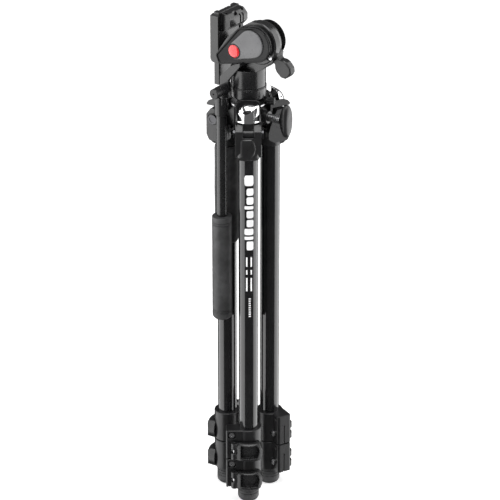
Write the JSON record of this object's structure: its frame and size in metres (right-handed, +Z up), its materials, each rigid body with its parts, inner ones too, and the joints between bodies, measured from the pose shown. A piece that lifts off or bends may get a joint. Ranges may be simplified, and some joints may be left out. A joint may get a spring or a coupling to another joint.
{
  "type": "folding camera tripod with pan and tilt head",
  "caption": "Folded aluminium tripod with telescoping flip-lever legs, sliding centre column and a compact fluid pan and tilt head with a hanging pan bar.",
  "frame": {"origin": "centre of the folded tripod's footprint box on the floor plane under the feet", "axes": "+Z up along the column and the folded legs, -Y towards the front leg, +X to the column lock knob's side"},
  "size_m": [0.1008, 0.1028, 0.601],
  "materials": {
    "leg_tube": "gloss black paint",
    "inner_tube": "anodised dark grey",
    "casting": "satin black paint",
    "head_casting": "semi-gloss black",
    "chrome": "polished",
    "clamp": "satin black",
    "lever": "satin black",
    "steel": "satin",
    "hinge_steel": "black oxide",
    "rubber": "matt dark grey",
    "foam": "matt foam",
    "grip": "matt",
    "bush": "matt",
    "knob": "satin black",
    "cover": "satin grey panel",
    "badge": "gloss red",
    "plate": "satin black"
  },
  "bodies": {
    "shoulder": {"shoulder": "casting", "hinge_pins": "hinge_steel", "column_bush": "bush"},
    "front_leg": {"front_leg_cap": "casting", "front_upper_tube": "leg_tube", "front_upper_clamp": "clamp", "front_upper_clamp_bolt": "steel"},
    "front_mid": {"front_mid_tube": "inner_tube", "front_lower_clamp": "clamp", "front_lower_clamp_bolt": "steel"},
    "front_low": {"front_lower_tube": "inner_tube", "front_foot": "rubber"},
    "front_upper_lever": {"front_upper_lever": "lever"},
    "front_lower_lever": {"front_lower_lever": "lever"},
    "front_selector": {"front_angle_selector": "chrome"},
    "right_leg": {"right_leg_cap": "casting", "right_upper_tube": "leg_tube", "right_upper_clamp": "clamp", "right_upper_clamp_bolt": "steel"},
    "right_mid": {"right_mid_tube": "inner_tube", "right_lower_clamp": "clamp", "right_lower_clamp_bolt": "steel"},
    "right_low": {"right_lower_tube": "inner_tube", "right_foot": "rubber"},
    "right_upper_lever": {"right_upper_lever": "lever"},
    "right_lower_lever": {"right_lower_lever": "lever"},
    "right_selector": {"right_angle_selector": "chrome"},
    "left_leg": {"left_leg_cap": "casting", "left_upper_tube": "leg_tube", "left_upper_clamp": "clamp", "left_upper_clamp_bolt": "steel", "left_leg_sleeve": "foam"},
    "left_mid": {"left_mid_tube": "inner_tube", "left_lower_clamp": "clamp", "left_lower_clamp_bolt": "steel"},
    "left_low": {"left_lower_tube": "inner_tube", "left_foot": "rubber"},
    "left_upper_lever": {"left_upper_lever": "lever"},
    "left_lower_lever": {"left_lower_lever": "lever"},
    "left_selector": {"left_angle_selector": "chrome"},
    "column": {"column_tube": "leg_tube", "column_end_cap": "knob", "head_stud": "steel", "pan_base": "head_casting"},
    "column_lock": {"column_lock_stud": "steel", "column_lock_knob": "knob"},
    "pan_lock": {"pan_lock_knob": "knob"},
    "head": {"head_housing": "head_casting", "tilt_pins": "steel"},
    "tilt_lever": {"tilt_lever": "knob"},
    "tilt": {"tilt_body": "head_casting", "side_cover": "cover", "badge": "badge", "plate_holder": "head_casting"},
    "plate_lock": {"plate_lock": "knob"},
    "camera_plate": {"camera_plate": "plate"},
    "camera_screw": {"camera_screw": "steel"},
    "bar_clamp": {"bar_clamp_knob": "knob"},
    "pan_bar": {"pan_bar": "head_casting", "pan_grip": "grip"}
  },
  "joints": [
    {"name": "front_leg_spread", "type": "hinge", "parent": "shoulder", "child": "front_leg", "pos_m": [-0.00147, -0.03619, 0.474], "axis": [-1, 0, 0], "range_deg": [0, 66]},
    {"name": "front_mid_slide", "type": "slide", "parent": "front_leg", "child": "front_mid", "axis": [0, 0, -1], "range_m": [0, 0.3]},
    {"name": "front_low_slide", "type": "slide", "parent": "front_mid", "child": "front_low", "axis": [0, 0, -1], "range_m": [0, 0.3]},
    {"name": "front_upper_lever_flip", "type": "hinge", "parent": "front_leg", "child": "front_upper_lever", "pos_m": [-0.01797, -0.04459, 0.0722], "axis": [0, 0, -1], "range_deg": [0, 110]},
    {"name": "front_lower_lever_flip", "type": "hinge", "parent": "front_mid", "child": "front_lower_lever", "pos_m": [-0.01797, -0.04459, 0.0338], "axis": [0, 0, -1], "range_deg": [0, 110]},
    {"name": "front_angle_latch", "type": "hinge", "parent": "shoulder", "child": "front_selector", "pos_m": [-0.00147, -0.03509, 0.5], "axis": [-1, 0, 0], "range_deg": [0, 20], "stiffness_Nm_per_rad": 0.2, "springref_deg": -5.73},
    {"name": "right_leg_spread", "type": "hinge", "parent": "shoulder", "child": "right_leg", "pos_m": [0.03109, 0.02021, 0.474], "axis": [0.5, -0.866, 0], "range_deg": [0, 66]},
    {"name": "right_mid_slide", "type": "slide", "parent": "right_leg", "child": "right_mid", "axis": [0, 0, -1], "range_m": [0, 0.3]},
    {"name": "right_low_slide", "type": "slide", "parent": "right_mid", "child": "right_low", "axis": [0, 0, -1], "range_m": [0, 0.3]},
    {"name": "right_upper_lever_flip", "type": "hinge", "parent": "right_leg", "child": "right_upper_lever", "pos_m": [0.04661, 0.01012, 0.0722], "axis": [0, 0, -1], "range_deg": [0, 110]},
    {"name": "right_lower_lever_flip", "type": "hinge", "parent": "right_mid", "child": "right_lower_lever", "pos_m": [0.04661, 0.01012, 0.0338], "axis": [0, 0, -1], "range_deg": [0, 110]},
    {"name": "right_angle_latch", "type": "hinge", "parent": "shoulder", "child": "right_selector", "pos_m": [0.03014, 0.01966, 0.5], "axis": [0.5, -0.866, 0], "range_deg": [0, 20], "stiffness_Nm_per_rad": 0.2, "springref_deg": -5.73},
    {"name": "left_leg_spread", "type": "hinge", "parent": "shoulder", "child": "left_leg", "pos_m": [-0.03404, 0.02021, 0.474], "axis": [0.5, 0.866, 0], "range_deg": [0, 66]},
    {"name": "left_mid_slide", "type": "slide", "parent": "left_leg", "child": "left_mid", "axis": [0, 0, -1], "range_m": [0, 0.3]},
    {"name": "left_low_slide", "type": "slide", "parent": "left_mid", "child": "left_low", "axis": [0, 0, -1], "range_m": [0, 0.3]},
    {"name": "left_upper_lever_flip", "type": "hinge", "parent": "left_leg", "child": "left_upper_lever", "pos_m": [-0.03306, 0.0387, 0.0722], "axis": [0, 0, -1], "range_deg": [0, 110]},
    {"name": "left_lower_lever_flip", "type": "hinge", "parent": "left_mid", "child": "left_lower_lever", "pos_m": [-0.03306, 0.0387, 0.0338], "axis": [0, 0, -1], "range_deg": [0, 110]},
    {"name": "left_angle_latch", "type": "hinge", "parent": "shoulder", "child": "left_selector", "pos_m": [-0.03308, 0.01966, 0.5], "axis": [0.5, 0.866, 0], "range_deg": [0, 20], "stiffness_Nm_per_rad": 0.2, "springref_deg": -5.73},
    {"name": "column_lift", "type": "slide", "parent": "shoulder", "child": "column", "axis": [0, 0, 1], "range_m": [0, 0.225]},
    {"name": "column_lock_turn", "type": "hinge", "parent": "shoulder", "child": "column_lock", "pos_m": [0.02451, -0.01359, 0.484], "axis": [0.866, -0.5, 0], "range_deg": [-90, 90]},
    {"name": "pan_lock_turn", "type": "hinge", "parent": "column", "child": "pan_lock", "pos_m": [0.01793, -0.00343, 0.5013], "axis": [0.9703, -0.2419, 0], "range_deg": [-180, 180]},
    {"name": "pan", "type": "hinge", "parent": "column", "child": "head", "pos_m": [-0.00147, 0.00141, 0.5199], "axis": [0, 0, 1], "range_deg": [-6, 14]},
    {"name": "tilt", "type": "hinge", "parent": "head", "child": "tilt", "pos_m": [0.01584, -0.01117, 0.5762], "axis": [0.5878, 0.809, 0], "range_deg": [0, 140]},
    {"name": "tilt_lock_swing", "type": "hinge", "parent": "head", "child": "tilt_lever", "pos_m": [0.02846, -0.02034, 0.5625], "axis": [0.5878, 0.809, 0], "range_deg": [-20, 20]},
    {"name": "bar_swing", "type": "hinge", "parent": "tilt", "child": "pan_bar", "pos_m": [-0.03173, -0.0132, 0.517], "axis": [0.5878, 0.809, 0], "range_deg": [0, 150]},
    {"name": "bar_clamp_turn", "type": "hinge", "parent": "tilt", "child": "bar_clamp", "pos_m": [-0.04038, -0.02509, 0.517], "axis": [-0.5878, -0.809, 0], "range_deg": [-180, 180]},
    {"name": "plate_slide", "type": "slide", "parent": "tilt", "child": "camera_plate", "axis": [0, 0, 1], "range_m": [-0.028, 0.01]},
    {"name": "plate_lock_swing", "type": "hinge", "parent": "tilt", "child": "plate_lock", "pos_m": [-0.0148, 0.04261, 0.556], "axis": [-0.5878, -0.809, 0], "range_deg": [0, 80]},
    {"name": "camera_screw_turn", "type": "hinge", "parent": "camera_plate", "child": "camera_screw", "pos_m": [-0.03284, 0.03223, 0.566], "axis": [-0.809, 0.5878, 0], "continuous": true}
  ]
}
